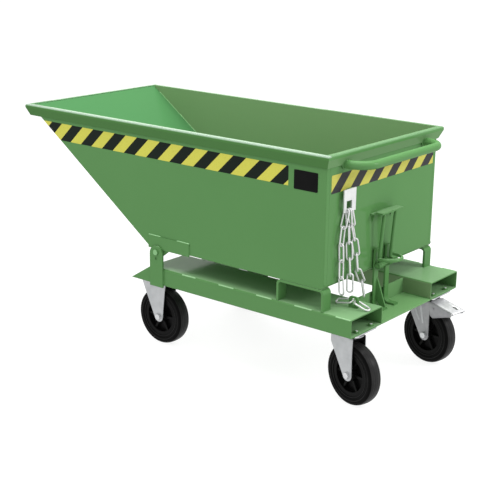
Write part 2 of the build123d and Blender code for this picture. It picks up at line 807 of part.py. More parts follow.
swivel_seats = {}
for side, hand in SIDES:
    yaw = swivel_near_yaw if hand < 0 else swivel_far_yaw
    seat = seat_at(swivel_kingpin_x, hand * castor_y, 0, yaw)
    swivel_seats[side] = seat
    wheel_seat = seat * Pos(swivel_trail, 0, axle_z)

    with BuildPart() as swivel_plate:
        with BuildSketch(Plane.XY.offset(plate_bottom)) as swivel_plate_outline:
            with Locations((swivel_kingpin_x, hand * castor_y)):
                Rectangle(plate_length, plate_width)
            fillet(swivel_plate_outline.vertices(), radius=fork_bend)
            with Locations((swivel_kingpin_x, hand * castor_y)):
                with GridLocations(hole_length, hole_width, 2, 2):
                    Circle((castor_bolt + bolt_play) / 2, mode=Mode.SUBTRACT)
        extrude(amount=castor_plate)
        with BuildSketch(Plane.XY.offset(crown_height + race_gap)):
            with Locations((swivel_kingpin_x, hand * castor_y)):
                Circle(race_radius)
        extrude(amount=plate_bottom - crown_height - race_gap)
        with BuildSketch(Plane.XY.offset(plate_bottom - race_radius)):
            with Locations((swivel_kingpin_x, hand * castor_y)):
                Circle(kingpin / 2 + running_gap)
        extrude(amount=race_radius + castor_plate, mode=Mode.SUBTRACT)
    save(swivel_plate.part, f"swivel_plate_{side}")

    with BuildPart() as swivel_pin:
        with BuildSketch(Plane.XY.offset(crown_height - fork_thickness - fork_play)):
            with Locations((swivel_kingpin_x, hand * castor_y)):
                Circle(kingpin / 2)
        extrude(amount=castor_height - crown_height + fork_thickness + fork_play)
        with BuildSketch(Plane.XY.offset(crown_height - fork_thickness - fork_play)):
            with Locations((swivel_kingpin_x, hand * castor_y)):
                Circle(kingpin_head)
        extrude(amount=-fork_thickness)
    save(swivel_pin.part, f"swivel_pin_{side}")

    with BuildPart() as swivel_fork:
        add(fork(seat, crown_height, swivel_front, swivel_back, swivel_trail, fork_shoulder))
        with BuildSketch(placed(seat, Plane.XY.offset(crown_height - fork_thickness))):
            Circle(crown_radius)
        extrude(amount=fork_thickness)
        with BuildSketch(placed(seat, Plane.XY.offset(crown_height))):
            Circle(race_radius + race_gap + race_wall)
            Circle(race_radius + race_gap, mode=Mode.SUBTRACT)
        extrude(amount=plate_bottom - crown_height - race_gap - race_wall)
        with BuildSketch(placed(seat, Plane.XY.offset(crown_height - fork_thickness))):
            Circle(kingpin / 2 + running_gap)
        extrude(amount=fork_thickness, mode=Mode.SUBTRACT)
        if side == "far":
            for leg_y in (fork_inner, -fork_outer):
                with BuildSketch(placed(seat, Plane.XZ.offset(leg_y))):
                    with Locations((brake_pin_x, brake_pin_z)):
                        Circle(brake_ear)
                    with Locations((swivel_trail, crown_height - fork_bend)):
                        Rectangle(fork_foot, 2 * brake_ear, align=(Align.CENTER, Align.MAX))
                    make_hull()
                    with Locations((brake_pin_x, brake_pin_z)):
                        Circle(brake_pin / 2 + running_gap, mode=Mode.SUBTRACT)
                extrude(amount=fork_thickness)
    save(swivel_fork.part, f"swivel_fork_{side}")
    save(axle(wheel_seat), f"axle_rear_{side}")
    save(wheel_centre(wheel_seat), f"wheel_rear_{side}")
    save(tyre(wheel_seat), f"tyre_rear_{side}")

    fixed_seat = seat_at(fixed_x, hand * castor_y, 0, 0)
    fixed_wheel = fixed_seat * Pos(0, 0, axle_z)
    with BuildPart() as fixed_fork:
        add(fork(fixed_seat, castor_height, fixed_front, fixed_back, 0, fixed_shoulder))
        with BuildSketch(Plane.XY.offset(plate_bottom)) as fixed_plate_outline:
            with Locations((fixed_x, hand * castor_y)):
                Rectangle(plate_length, plate_width)
            fillet(fixed_plate_outline.vertices(), radius=fork_bend)
            with Locations((fixed_x, hand * castor_y)):
                with GridLocations(hole_length, hole_width, 2, 2):
                    Circle((castor_bolt + bolt_play) / 2, mode=Mode.SUBTRACT)
        extrude(amount=castor_plate)
    save(fixed_fork.part, f"fixed_fork_{side}")
    save(axle(fixed_wheel), f"axle_front_{side}")
    save(wheel_centre(fixed_wheel), f"wheel_front_{side}")
    save(tyre(fixed_wheel), f"tyre_front_{side}")

# Castors: bolts up through the castor plates, with their nuts inside the tubes
for side, hand in SIDES:
    castor_places = ((swivel_kingpin_x, hand * castor_y), (fixed_x, hand * castor_y))
    with BuildPart() as castor_bolts:
        with BuildSketch(Plane.XY.offset(plate_bottom - castor_head)):
            with Locations(*castor_places):
                with GridLocations(hole_length, hole_width, 2, 2):
                    RegularPolygon(castor_hex / 2, 6, major_radius=False)
        extrude(amount=castor_head)
        with BuildSketch(Plane.XY.offset(plate_bottom)):
            with Locations(*castor_places):
                with GridLocations(hole_length, hole_width, 2, 2):
                    RegularPolygon(castor_bolt / 2, 8)
        extrude(amount=castor_plate + bolt_rise)
        with BuildSketch(Plane.XY.offset(castor_height + beam_wall)):
            with Locations(*castor_places):
                with GridLocations(hole_length, hole_width, 2, 2):
                    RegularPolygon(castor_hex / 2, 6, major_radius=False)
        extrude(amount=castor_nut)
    save(castor_bolts.part, f"castor_bolts_{side}")

# Brake: foot pedal that rocks on a pin through the far swivel fork
brake_seat = swivel_seats["far"]
with BuildPart() as brake_rod:
    with BuildSketch(placed(brake_seat, Plane.XZ)):
        with Locations((brake_pin_x, brake_pin_z)):
            Circle(brake_pin / 2)
    extrude(amount=fork_outer + brake_gap + 2 * brake_skirt, both=True)
save(brake_rod.part, "brake_rod")

pedal_tilt = atan2(pedal_top - pedal_low, pedal_end - pedal_start)
with BuildPart() as brake_pedal:
    with BuildSketch(placed(brake_seat, Plane.XZ)):
        with BuildLine():
            Polyline(
                (pedal_start, pedal_top),
                (pedal_end, pedal_low),
                (pedal_end - brake_ear / 2, pedal_low - brake_ear),
                (brake_pin_x, wheel_diameter - pedal_skirt_low),
                (pedal_start, brake_pin_z - brake_ear),
                close=True,
            )
        make_face()
    extrude(amount=pedal_half, both=True)
    with BuildSketch(placed(brake_seat, Plane.XZ)):
        with BuildLine():
            Polyline(
                (pedal_start - brake_ear, pedal_top + brake_ear * tan(pedal_tilt) - pedal_plate / cos(pedal_tilt)),
                (pedal_end + brake_ear, pedal_low - brake_ear * tan(pedal_tilt) - pedal_plate / cos(pedal_tilt)),
                (pedal_end + brake_ear, pedal_low - 4 * brake_ear),
                (pedal_start - brake_ear, pedal_low - 4 * brake_ear),
                close=True,
            )
        make_face()
    extrude(amount=pedal_half - brake_skirt, both=True, mode=Mode.SUBTRACT)
    with BuildSketch(placed(brake_seat, Plane.XZ)):
        with Locations((brake_pin_x, brake_pin_z)):
            Circle(brake_pin / 2 + running_gap)
    extrude(amount=2 * pedal_half, both=True, mode=Mode.SUBTRACT)
save(brake_pedal.part, "brake_pedal")


# Chain: long links of round wire, bent in flats so that each stays light
def link(wire, width, length, sides, turns):
    """One upright link round the origin, in the YZ plane."""
    radius = (width - wire) / 2
    straight = (length - width) / 2
    with BuildPart() as ring:
        with BuildLine() as centre_line:
            points = []
            for end, start in ((1, 0), (-1, pi)):
                for step in range(turns + 1):
                    angle = start + pi * step / turns
                    points.append((0, radius * cos(angle), radius * sin(angle) + end * straight))
            Polyline(*[(0, radius, 0)] + points + [(0, radius, 0)])
        with BuildSketch(Plane(origin=(0, radius, 0), z_dir=(0, 0, 1))):
            RegularPolygon(wire / 2, sides, major_radius=True)
        sweep(path=centre_line.wire(), transition=Transition.RIGHT)
    return ring.part


chain_link = link(chain_wire, chain_width, chain_pitch + 2 * chain_wire, 6, 6)
link_top = hanger_bottom + hanger_bar + 3 * seat_gap + chain_wire / 2
link_half = (chain_pitch + chain_wire) / 2
link_step = chain_pitch - chain_play


# Chain: three lengths that hang side by side in the slot, each link turned from the one above
for side in ("near", "middle", "far"):
    with BuildPart() as chain:
        y, z = slot_y + strand_places[side], link_top
        for number, (lean, turn) in enumerate(zip(strand_leans[side], strand_turns[side])):
            fall = link_half if number == 0 else link_step / 2
            y, z = y + fall * sin(radians(lean)), z - fall * cos(radians(lean))
            with Locations(Pos(hanger_x, y, z) * Rot(lean, 0, 0) * Rot(0, 0, turn - 90)):
                add(chain_link)
            y, z = y + link_step / 2 * sin(radians(lean)), z - link_step / 2 * cos(radians(lean))
    save(chain.part, f"chain_{side}")

# Chain: eye plate on the near tube, with the two links that lie on the tube beside it
with BuildPart() as chain_eye:
    with BuildSketch(Plane.XZ.offset(-eye_y - eye_plate / 2)) as eye_outline:
        with Locations((eye_x, beam_top)):
            Rectangle(eye_width, eye_height, align=(Align.CENTER, Align.MIN))
        fillet(eye_outline.vertices().group_by(Axis.Y)[-1], radius=eye_hole / 2)
        with Locations((eye_x, beam_top + eye_hole_height)):
            Circle(eye_hole / 2, mode=Mode.SUBTRACT)
    extrude(amount=eye_plate)
save(chain_eye.part, "chain_eye")

eye_z = beam_top + eye_hole_height
quick_link = link(quick_wire, quick_width, quick_length, 6, 6)
for name, ring, wire, heading, half in (
    ("chain_end_front", chain_link, chain_wire, -1, link_half),
    ("chain_end_rear", quick_link, quick_wire, 1, (quick_length - quick_wire) / 2),
):
    start_x = eye_x + heading * eye_hole / 4
    fall = eye_z - beam_top - wire / 2 - seat_gap
    run = sqrt((2 * half) ** 2 - fall**2)
    middle = Plane(
        origin=(start_x + heading * run / 2, eye_y, eye_z - fall / 2),
        x_dir=(fall, 0, heading * run),
        z_dir=(heading * run, 0, -fall),
    )
    with BuildPart() as chain_end:
        with Locations(middle.location):
            add(ring)
    save(chain_end.part, name)
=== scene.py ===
import math

import bmesh
import bpy
from mathutils import Matrix, Vector


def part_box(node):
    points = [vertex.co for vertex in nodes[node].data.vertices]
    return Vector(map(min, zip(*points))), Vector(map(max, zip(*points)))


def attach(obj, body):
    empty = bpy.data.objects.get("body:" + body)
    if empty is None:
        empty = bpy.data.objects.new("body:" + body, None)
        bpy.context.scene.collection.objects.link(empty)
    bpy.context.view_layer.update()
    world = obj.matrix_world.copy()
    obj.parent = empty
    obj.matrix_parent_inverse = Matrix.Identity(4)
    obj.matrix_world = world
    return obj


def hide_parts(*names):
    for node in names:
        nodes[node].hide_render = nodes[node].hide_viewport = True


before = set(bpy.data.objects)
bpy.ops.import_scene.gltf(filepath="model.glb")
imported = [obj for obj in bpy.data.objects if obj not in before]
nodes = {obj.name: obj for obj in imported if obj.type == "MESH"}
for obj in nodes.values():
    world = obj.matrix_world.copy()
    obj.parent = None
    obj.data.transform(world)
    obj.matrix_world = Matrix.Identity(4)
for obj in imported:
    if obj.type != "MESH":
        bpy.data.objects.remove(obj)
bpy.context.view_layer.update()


# Chassis steelwork: rectangular tubes, crossmembers, pivot brackets and bent supports, welded up from mild
# steel. The whole weldment is blasted and stove-enamelled in one glossy green, which keeps a slight
# orange-peel skin and shows the gentle waviness of the sheet under it.
class Value:
    """A number that varies over a surface; arithmetic and comparisons on it add Math nodes."""

    def __init__(self, finish, socket):
        self.finish = finish
        self.socket = socket

    def calc(self, operation, *operands):
        return self.finish.node("ShaderNodeMath", {"operation": operation}, dict(enumerate(operands)))

    def __add__(self, other):
        return self.calc("ADD", self, other)

    def __radd__(self, other):
        return self.calc("ADD", other, self)

    def __sub__(self, other):
        return self.calc("SUBTRACT", self, other)

    def __rsub__(self, other):
        return self.calc("SUBTRACT", other, self)

    def __mul__(self, other):
        return self.calc("MULTIPLY", self, other)

    def __rmul__(self, other):
        return self.calc("MULTIPLY", other, self)

    def __abs__(self):
        return self.calc("ABSOLUTE", self)

    def __lt__(self, other):
        return self.calc("LESS_THAN", self, other)

    def __gt__(self, other):
        return self.calc("GREATER_THAN", self, other)

    def close_to(self, aim, within):
        return self.calc("COMPARE", self, aim, within)


class Finish:
    """One surface finish, built from nodes round a Principled shader."""

    def __init__(self, name, **constants):
        self.material = bpy.data.materials.new(name)
        self.material.use_nodes = True
        self.tree = self.material.node_tree
        self.shader = self.tree.nodes["Principled BSDF"]
        for socket, value in constants.items():
            self.shader.inputs[socket.replace("_", " ")].default_value = value
        self.place = self.node("ShaderNodeTexCoord", output="Object")

    def node(self, kind, settings=None, inputs=None, output=0):
        """Any node: its type, its settings, then the values or links of its sockets."""
        made = self.tree.nodes.new(kind)
        for name, setting in (settings or {}).items():
            setattr(made, name, setting)
        for name, value in (inputs or {}).items():
            self.feed(made.inputs[name], value)
        return Value(self, made.outputs[output])

    def feed(self, socket, value):
        if isinstance(value, Value):
            self.tree.links.new(value.socket, socket)
        else:
            socket.default_value = value

    def at(self, axis):
        """Where the surface lies along one axis of the part, in metres."""
        return self.node("ShaderNodeSeparateXYZ", None, {0: self.place}, output=axis)

    def facing(self, axis):
        """How far the surface looks along one axis, in the piece's own frame."""
        normal = self.node("ShaderNodeTexCoord", output="Normal")
        return self.node("ShaderNodeSeparateXYZ", None, {0: normal}, output=axis)

    def noise(self, scale, detail=2.0):
        inputs = {"Vector": self.place, "Scale": scale, "Detail": detail}
        return self.node("ShaderNodeTexNoise", None, inputs)

    def ramp(self, value, low, high):
        """Nought below one limit, one above the other, and straight between them."""
        return self.node("ShaderNodeMapRange", None, {"Value": value, "From Min": low, "From Max": high})

    def mixed(self, factor, first, second):
        return self.node("ShaderNodeMix", {"data_type": "RGBA"}, {0: factor, 6: first, 7: second}, output=2)

    def soft_edge(self, radius):
        """Normals that round every edge a little."""
        return self.node("ShaderNodeBevel", {"samples": 4}, {"Radius": radius})

    def bump(self, height, strength, distance, below=None):
        inputs = {"Height": height, "Strength": strength, "Distance": distance}
        if below is not None:
            inputs["Normal"] = below
        return self.node("ShaderNodeBump", None, inputs)

    def show(self, **varying):
        for socket, value in varying.items():
            self.feed(self.shader.inputs[socket.replace("_", " ")], value)
        return self.material


def enamel(name, dark, light, lit_and_shaded=()):
    """Glossy stove enamel over sheet: cloudy tone, orange peel, softly rounded edges, painted light and
    shade.
    """
    paint = Finish(name, Coat_Roughness=0.12, IOR=1.45, Specular_IOR_Level=0.0)
    cloud = paint.noise(scale=2.6, detail=3.0)
    peel = paint.noise(scale=360.0)
    sag = paint.noise(scale=5.0, detail=1.0)
    wavy = paint.bump(sag, strength=0.25, distance=0.004, below=paint.soft_edge(0.0016))
    skin = paint.bump(peel, strength=0.10, distance=0.0004, below=wavy)
    tone = paint.mixed(cloud, dark, light)
    gloss = 0.22 + 0.10 * peel
    for area, painted_tone in lit_and_shaded:
        share = area(paint, cloud)
        tone = paint.mixed(share, tone, painted_tone)
        gloss = gloss * (1 - 0.5 * share)
    return paint.show(Base_Color=tone, Roughness=0.36 + 0.14 * cloud, Coat_Weight=gloss, Normal=skin)


beam_low, beam_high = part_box("beam_near")
tube_inside_y = -beam_high.y
inner_face_depth = 0.001


def upper_faces(paint, cloud):
    """Level upper faces, painted paler as painted light where light falls on them."""
    return (paint.facing("Z") > 0.9) * (0.70 + 0.40 * cloud)


def inner_sides(paint, cloud):
    """The faces of the tubes that look at each other, painted paler as painted light against the hopper's
    shade.
    """
    return (abs(paint.at("Y")) < tube_inside_y + inner_face_depth) * (0.80 + 0.40 * cloud)


def finish_nodes(material, *names):
    """Give the named solids one finish."""
    for name in names:
        mesh = nodes[name].data
        mesh.materials.clear()
        mesh.materials.append(material)


green_dark, green_light = (0.072, 0.191, 0.058, 1.0), (0.086, 0.211, 0.070, 1.0)
# Painted light: the upper faces of the chassis are a paler green where light falls on them.
top_light_green = (0.185, 0.335, 0.165, 1.0)
# Painted light: the tubes' inner sides are a paler green against the shade of the hopper above.
lit_inner_green = (0.130, 0.216, 0.099, 1.0)
green = enamel("green_enamel", green_dark, green_light)
chassis_green = enamel("chassis_enamel", green_dark, green_light, [(upper_faces, top_light_green)])
beam_green = enamel("beam_enamel", green_dark, green_light,
                    [(upper_faces, top_light_green), (inner_sides, lit_inner_green)])
# Painted light: the rear angle, under the hopper's shade, is a paler green, paler still on its upper faces.
lit_angle_green = enamel("lit_angle_enamel", (0.120, 0.255, 0.100, 1.0), (0.135, 0.275, 0.112, 1.0),
                     [(upper_faces, (0.140, 0.295, 0.116, 1.0))])
SIDES = (("near", -1), ("far", 1))
for side, hand in SIDES:
    finish_nodes(beam_green, f"beam_{side}")
    finish_nodes(chassis_green, f"pivot_bracket_{side}", f"support_{side}")
    finish_nodes(green, f"latch_post_{side}")
finish_nodes(chassis_green, "crossmember_front", "latch_gusset", "latch_rod", "chain_eye")
finish_nodes(lit_angle_green, "crossmember_rear")


# Hopper: folded 3 mm sheet, two side panels, a trough and a hollow rim, with doublers, pivot lugs, the catch
# shelf and a bent tube push handle welded on, all in the enamel of the chassis. The inner faces of its walls
# are painted paler as painted light, the rim's faces carry painted shade and painted light, and its round
# upper edge a painted highlight, palest along the near side.
trough_low, trough_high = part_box("trough")
rim_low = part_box("rim")[0]
wall_y = -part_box("side_panel_near")[0].y
rear_x = trough_high.x
floor_z = trough_low.z
sheet = 0.003
slope_rise = 0.7134
slope_facing = math.cos(math.atan(slope_rise))
lip_depth = 0.050


def lit_panel_insides(paint, cloud):
    """Painted light on the inner face of a side panel, ahead of the strip that is folded round the corner."""
    inside = abs(paint.at("Y")) < wall_y - sheet / 2
    ahead = paint.at("X") < rear_x - 1.5 * sheet
    return inside * ahead * (0.80 + 0.40 * cloud)


def lit_rear_inside(paint, cloud):
    """Painted light on the inner face of the rear wall."""
    return paint.at("X").close_to(rear_x - sheet, sheet / 3) * (0.80 + 0.40 * cloud)


def shaded_slope(paint, cloud):
    """The inner face of the slope, a darker green as painted shade."""
    return paint.facing("Z").close_to(slope_facing, 0.05) * (0.80 + 0.20 * cloud)


def rim_face(axis, least, most):
    """The faces of the rim that look along one axis and rise within limits."""
    def area(paint, cloud):
        square_on = abs(paint.facing(axis)) > 0.8
        rising = (paint.facing("Z") > least) * (paint.facing("Z") < most)
        return square_on * rising * (0.80 + 0.20 * cloud)
    return area


def lip_inside(paint, cloud):
    """The narrow inner face above the slope, painted paler as painted light."""
    return rim_face("X", -0.2, 0.2)(paint, cloud) * (paint.at("X") < rim_low.x + lip_depth)


def rim_crown(paint, cloud):
    """The round upper edge of the rim, given a painted highlight, palest on the near side."""
    near = paint.at("Y") < -wall_y
    return paint.ramp(paint.facing("Z"), 0.10, 0.60) * (0.20 + 0.75 * near) * (0.90 + 0.20 * cloud)


# Painted light: a paler green on the walls' inner faces, which the walls shade.
inner_light_green = (0.155, 0.276, 0.121, 1.0)
panel_green = enamel("panel_enamel", green_dark, green_light, [(lit_panel_insides, inner_light_green)])
trough_green = enamel("trough_enamel", green_dark, green_light,
                      [(lit_rear_inside, inner_light_green), (shaded_slope, (0.058, 0.180, 0.066, 1.0))])
# Rim tones: painted shade on the slanted side faces, painted light on the slanted end faces and the lip, and
# a painted highlight along the round upper edge.
rim_green = enamel("rim_enamel", green_dark, green_light,
                   [(rim_face("Y", -0.9, 0.1), (0.055, 0.150, 0.040, 1.0)),
                    (rim_face("X", -0.9, -0.2), (0.115, 0.228, 0.094, 1.0)),
                    (lip_inside, (0.200, 0.380, 0.210, 1.0)),
                    (rim_crown, (0.255, 0.338, 0.262, 1.0))])
for side, hand in SIDES:
    finish_nodes(panel_green, f"side_panel_{side}")
    finish_nodes(green, f"doubler_{side}", f"pivot_lug_{side}")
finish_nodes(trough_green, "trough")
finish_nodes(rim_green, "rim")
finish_nodes(green, "push_handle")
finish_nodes(chassis_green, "catch")


# Hopper welds: runs of gas-shielded weld along the joints, left as they cooled, as low rippled ridges under
# the enamel. The short stitches on the doublers are painted pale as a painted highlight, and the seams of
# the slope are a paler green than the rest.
def sweep(mesh, path, radius, count, closed=False, ripple=0.0, pitch=1.0):
    """A round bar along a path, as a closed ring or with pinched ends; ripples swell the bar."""
    pinch = 0.35
    total = len(path)
    rings = []
    side = None
    walked = 0.0
    for index, point in enumerate(path):
        if closed:
            ahead = path[(index + 1) % total] - path[index - 1]
        else:
            ahead = path[min(index + 1, total - 1)] - path[max(index - 1, 0)]
        ahead.normalize()
        if side is None:
            side = ahead.orthogonal()
        side = (side - ahead * side.dot(ahead)).normalized()
        across = ahead.cross(side)
        if index:
            walked += (point - path[index - 1]).length
        swell = radius * (1 + ripple * math.sin(2 * math.pi * walked / pitch))
        if not closed and index in (0, total - 1):
            swell *= pinch
        ring = []
        for step in range(count):
            angle = 2 * math.pi * step / count
            spoke = side * math.cos(angle) + across * math.sin(angle)
            ring.append(mesh.verts.new(point + spoke * swell))
        rings.append(ring)
    pairs = list(zip(rings, rings[1:]))
    if closed:
        pairs.append((rings[-1], rings[0]))
    for one, two in pairs:
        for step in range(count):
            following = (step + 1) % count
            mesh.faces.new((one[step], one[following], two[following], two[step]))
    if not closed:
        mesh.faces.new(list(reversed(rings[0])))
        mesh.faces.new(rings[-1])


def piece(name, mesh, materials, body, smooth=True):
    """A finished mesh as a piece that rides on its body."""
    data = bpy.data.meshes.new(name)
    bmesh.ops.recalc_face_normals(mesh, faces=mesh.faces)
    mesh.to_mesh(data)
    mesh.free()
    for material in materials:
        data.materials.append(material)
    for face in data.polygons:
        face.use_smooth = smooth
    made = bpy.data.objects.new(name, data)
    bpy.context.scene.collection.objects.link(made)
    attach(made, body)
    return made


def spaced(start, end, steps):
    """Evenly spaced points from one place to another."""
    return [start.lerp(end, step / steps) for step in range(steps + 1)]


bead_radius, bead_sides, bead_pitch, bead_ripple = 0.0022, 8, 0.0045, 0.13


def bead(mesh, start, end, radius=bead_radius):
    """One straight run of weld."""
    start, end = Vector(start), Vector(end)
    steps = max(4, int((end - start).length / bead_pitch * 4))
    sweep(mesh, spaced(start, end, steps), radius, bead_sides, ripple=bead_ripple, pitch=bead_pitch)


doubler_low, doubler_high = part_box("doubler_near")
catch_low, catch_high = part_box("catch")
hanger_low, hanger_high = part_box("chain_hanger")
handle_low, handle_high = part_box("push_handle")
foot_x = doubler_low.x - 0.0005
seam_foot_x = foot_x + 0.002
seam_head_x, seam_head_z = trough_low.x + 0.030, floor_z + 0.387
floor_run_end_x = rear_x - 0.014
corner_foot_z, corner_head_z = floor_z + 0.016, rim_low.z + 0.036
fold_width, fold_sunk, fold_foot, fold_bead = 0.017, 0.0008, 0.014, 0.0014
doubler_stitches = ((0.000, 0.054), (0.127, 0.182))
doubler_run = (0.004, 0.036)
catch_inset = 0.004
hanger_runs_below, hanger_run = (0.004, 0.012), (0.036, 0.002)
runs, stitches, seams = bmesh.new(), bmesh.new(), bmesh.new()
for side, hand in SIDES:
    inner_y, outer_y = hand * (wall_y - sheet), hand * wall_y
    seam_foot = (seam_foot_x, inner_y, floor_z + sheet)
    bead(seams, seam_foot, (seam_head_x, inner_y, seam_head_z))
    bead(runs, seam_foot, (floor_run_end_x, inner_y, floor_z + sheet))
    bead(runs, (rear_x - sheet, inner_y, corner_foot_z), (rear_x - sheet, inner_y, corner_head_z))
    fold_x, fold_y = rear_x - fold_sunk, hand * (wall_y - fold_width)
    bead(runs, (fold_x, fold_y, floor_z + fold_foot), (fold_x, fold_y, rim_low.z), fold_bead)
    for first, last in doubler_stitches:
        bead(stitches, (doubler_low.x + first, outer_y, doubler_high.z),
             (doubler_low.x + last, outer_y, doubler_high.z))
    low, high = (doubler_low.z + up for up in doubler_run)
    bead(runs, (doubler_high.x, outer_y, low), (doubler_high.x, outer_y, high))
bead(runs, (rear_x, catch_low.y + catch_inset, catch_high.z),
     (rear_x, catch_high.y - catch_inset, catch_high.z))
for below in hanger_runs_below:
    first, last = (hanger_high.y - aside for aside in hanger_run)
    bead(runs, (rear_x, first, hanger_high.z - below), (rear_x, last, hanger_high.z - below))

# The handle's tube runs into the slanted face of the rim, with a bead all round it
handle_radius, handle_weld_radius, handle_bead, handle_points = 0.0135, 0.0138, 0.0024, 40
rim_foot, rim_slant = 0.0035, 0.4464
handle_z = (handle_low.z + handle_high.z) / 2
for side, hand in SIDES:
    centre_y = hand * (handle_high.y - handle_radius)
    ring = []
    for step in range(handle_points):
        angle = 2 * math.pi * step / handle_points
        z = handle_z + handle_weld_radius * math.sin(angle)
        ring.append(Vector((rear_x + rim_foot + max(0.0, z - rim_low.z) * rim_slant,
                            centre_y + handle_weld_radius * math.cos(angle), z)))
    sweep(runs, ring, handle_bead, bead_sides, closed=True, ripple=bead_ripple, pitch=bead_pitch)
# Painted highlight: the stitches are a pale green where light catches them.
highlit_bead_green = enamel("highlit_bead_enamel", (0.240, 0.460, 0.220, 1.0), (0.340, 0.570, 0.310, 1.0))
seam_green = enamel("seam_enamel", (0.150, 0.320, 0.130, 1.0), (0.190, 0.370, 0.165, 1.0))
piece("hopper_welds", runs, [green], "hopper")
piece("hopper_stitches", stitches, [highlit_bead_green], "hopper")
piece("slope_seams", seams, [seam_green], "hopper")


# Pivot bolts: steel bolts through the brackets and the hopper's lugs, on which the hopper tips. They are
# enamelled with the rest, and the outer faces of their heads are a paler green as a painted highlight.
bolt_face_y = -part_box("pivot_bolt_near")[0].y
face_depth = 0.0004


def highlit_head_face(paint, cloud):
    """Outer face of a bolt head, painted paler as a painted highlight."""
    return (abs(paint.at("Y")) > bolt_face_y - face_depth) * (0.55 + 0.60 * cloud)


bolt_green = enamel("bolt_enamel", green_dark, green_light, [(highlit_head_face, (0.230, 0.440, 0.210, 1.0))])
finish_nodes(bolt_green, "pivot_bolt_near", "pivot_bolt_far")


# Chassis welds: stitches along the outer upper edges of the tubes, painted pale as a painted highlight, and
# painted runs where the brackets, supports, rear angle, latch posts and chain eye are joined on.
bracket_low, bracket_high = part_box("pivot_bracket_near")
rear_low, rear_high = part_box("crossmember_rear")
eye_low, eye_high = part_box("chain_eye")
top_z = beam_high.z
stitches_from_lip = ((0.735, 0.794), (0.893, 0.955), (1.049, 1.110), (1.199, 1.264), (1.353, 1.407))
stitch_inset, stitch_sunk, stitch_radius = 0.0020, 0.0016, 0.0021
bracket_inset, support_inset, post_inset = 0.006, 0.003, 0.001
angle_start, angle_end, angle_run_z = rear_low.x + 0.010, rear_high.x - 0.004, rear_low.z + 0.005
runs, stitches = bmesh.new(), bmesh.new()
for side, hand in SIDES:
    outer_y, inner_y = hand * -beam_low.y, hand * tube_inside_y
    stitch_y, stitch_z = outer_y - hand * stitch_inset, top_z - stitch_sunk
    for first, last in stitches_from_lip:
        bead(stitches, (rim_low.x + first, stitch_y, stitch_z), (rim_low.x + last, stitch_y, stitch_z),
             stitch_radius)
    for x in (bracket_low.x, bracket_high.x):
        bead(runs, (x, outer_y, beam_low.z + bracket_inset), (x, outer_y, top_z - bracket_inset))
    support_low, support_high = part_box(f"support_{side}")
    for x in (support_low.x, support_high.x):
        bead(runs, (x, support_low.y + support_inset, top_z), (x, support_high.y - support_inset, top_z))
    bead(runs, (angle_start, inner_y, angle_run_z), (angle_end, inner_y, angle_run_z))
    post_low, post_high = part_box(f"latch_post_{side}")
    bead(runs, (post_high.x, post_low.y + post_inset, post_low.z),
         (post_high.x, post_high.y - post_inset, post_low.z))
for y in (eye_low.y, eye_high.y):
    bead(runs, (eye_low.x, y, eye_low.z), (eye_high.x, y, eye_low.z))
piece("chassis_welds", runs, [green], "chassis")
piece("chassis_stitches", stitches, [highlit_bead_green], "chassis")


# Latch lever: two leaning round bars welded to hinge tubes, with a round-bar hand loop and a hook plate that
# drops over the catch, all enamelled with the rest. The tubes turn on the rod between the posts.
def turned(mesh, centre, axle, section, count, finishes=None):
    """A ring turned about an axle from a closed section of radii and offsets along the axle."""
    axle = axle.normalized()
    upright = Vector((0.0, 0.0, 1.0))
    level = axle.cross(upright)
    rings = []
    for step in range(count):
        angle = 2 * math.pi * step / count
        spoke = upright * math.cos(angle) + level * math.sin(angle)
        rings.append([mesh.verts.new(centre + spoke * radius + axle * offset) for radius, offset in section])
    for index in range(count):
        one, two = rings[index - 1], rings[index]
        for point in range(len(section)):
            following = (point + 1) % len(section)
            face = mesh.faces.new((one[point], one[following], two[following], two[point]))
            if finishes:
                face.material_index = finishes[point]
    bmesh.ops.remove_doubles(mesh, verts=mesh.verts[:], dist=1e-6)


def level_arc(radius, height, degrees):
    """Points of a level arc about the upright axis."""
    return [Vector((radius * math.cos(math.radians(angle)), radius * math.sin(math.radians(angle)), height))
            for angle in degrees]


def middle_of(name):
    """Middle of a solid's box."""
    low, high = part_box(name)
    return (low + high) / 2


finish_nodes(chassis_green, "latch_hook", "latch_loop")
hinge = middle_of("latch_rod")
hook_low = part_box("latch_hook")[0]
tube_bore, tube_radius, tube_half, tube_chamfer = 0.0063, 0.0100, 0.0113, 0.0006
tube_section = ((tube_bore, -tube_half), (tube_radius - tube_chamfer, -tube_half),
                (tube_radius, tube_chamfer - tube_half), (tube_radius, tube_half - tube_chamfer),
                (tube_radius - tube_chamfer, tube_half), (tube_bore, tube_half))
bar_radius, bar_foot_back, bar_foot_up, bar_head_in = 0.0058, 0.002, 0.0075, 0.001
foot_weld, foot_weld_up, foot_weld_radius = 0.0075, 0.002, 0.0018
for side, hand in SIDES:
    arm_low, arm_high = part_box(f"latch_arm_{side}")
    arm_y = (arm_low.y + arm_high.y) / 2
    mesh = bmesh.new()
    turned(mesh, Vector((hinge.x, arm_y, hinge.z)), Vector((0.0, 1.0, 0.0)), tube_section, count=32)
    foot = Vector((hinge.x - bar_foot_back, arm_y, hinge.z + bar_foot_up))
    head = Vector((arm_high.x + bar_head_in, arm_y, hook_low.z + bar_head_in))
    sweep(mesh, spaced(foot, head, steps=10), bar_radius, count=14)
    weld = [foot + point for point in level_arc(foot_weld, foot_weld_up, range(0, 360, 20))]
    sweep(mesh, weld, foot_weld_radius, count=8, closed=True)
    lever = piece(f"latch_bar_{side}", mesh, [green], "latch")
    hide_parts(f"latch_arm_{side}")


# Castors: pressed and zinc-plated steel forks, plates, kingpins and axles, and black elastic tyres moulded on
# black plastic wheel centres. The plating is bright but soft, with a faint cloudy spangle, and the hollow
# between each fork's legs is painted near-black as painted shade.
leg_gap_half, hollow_top = 0.0275, 0.236


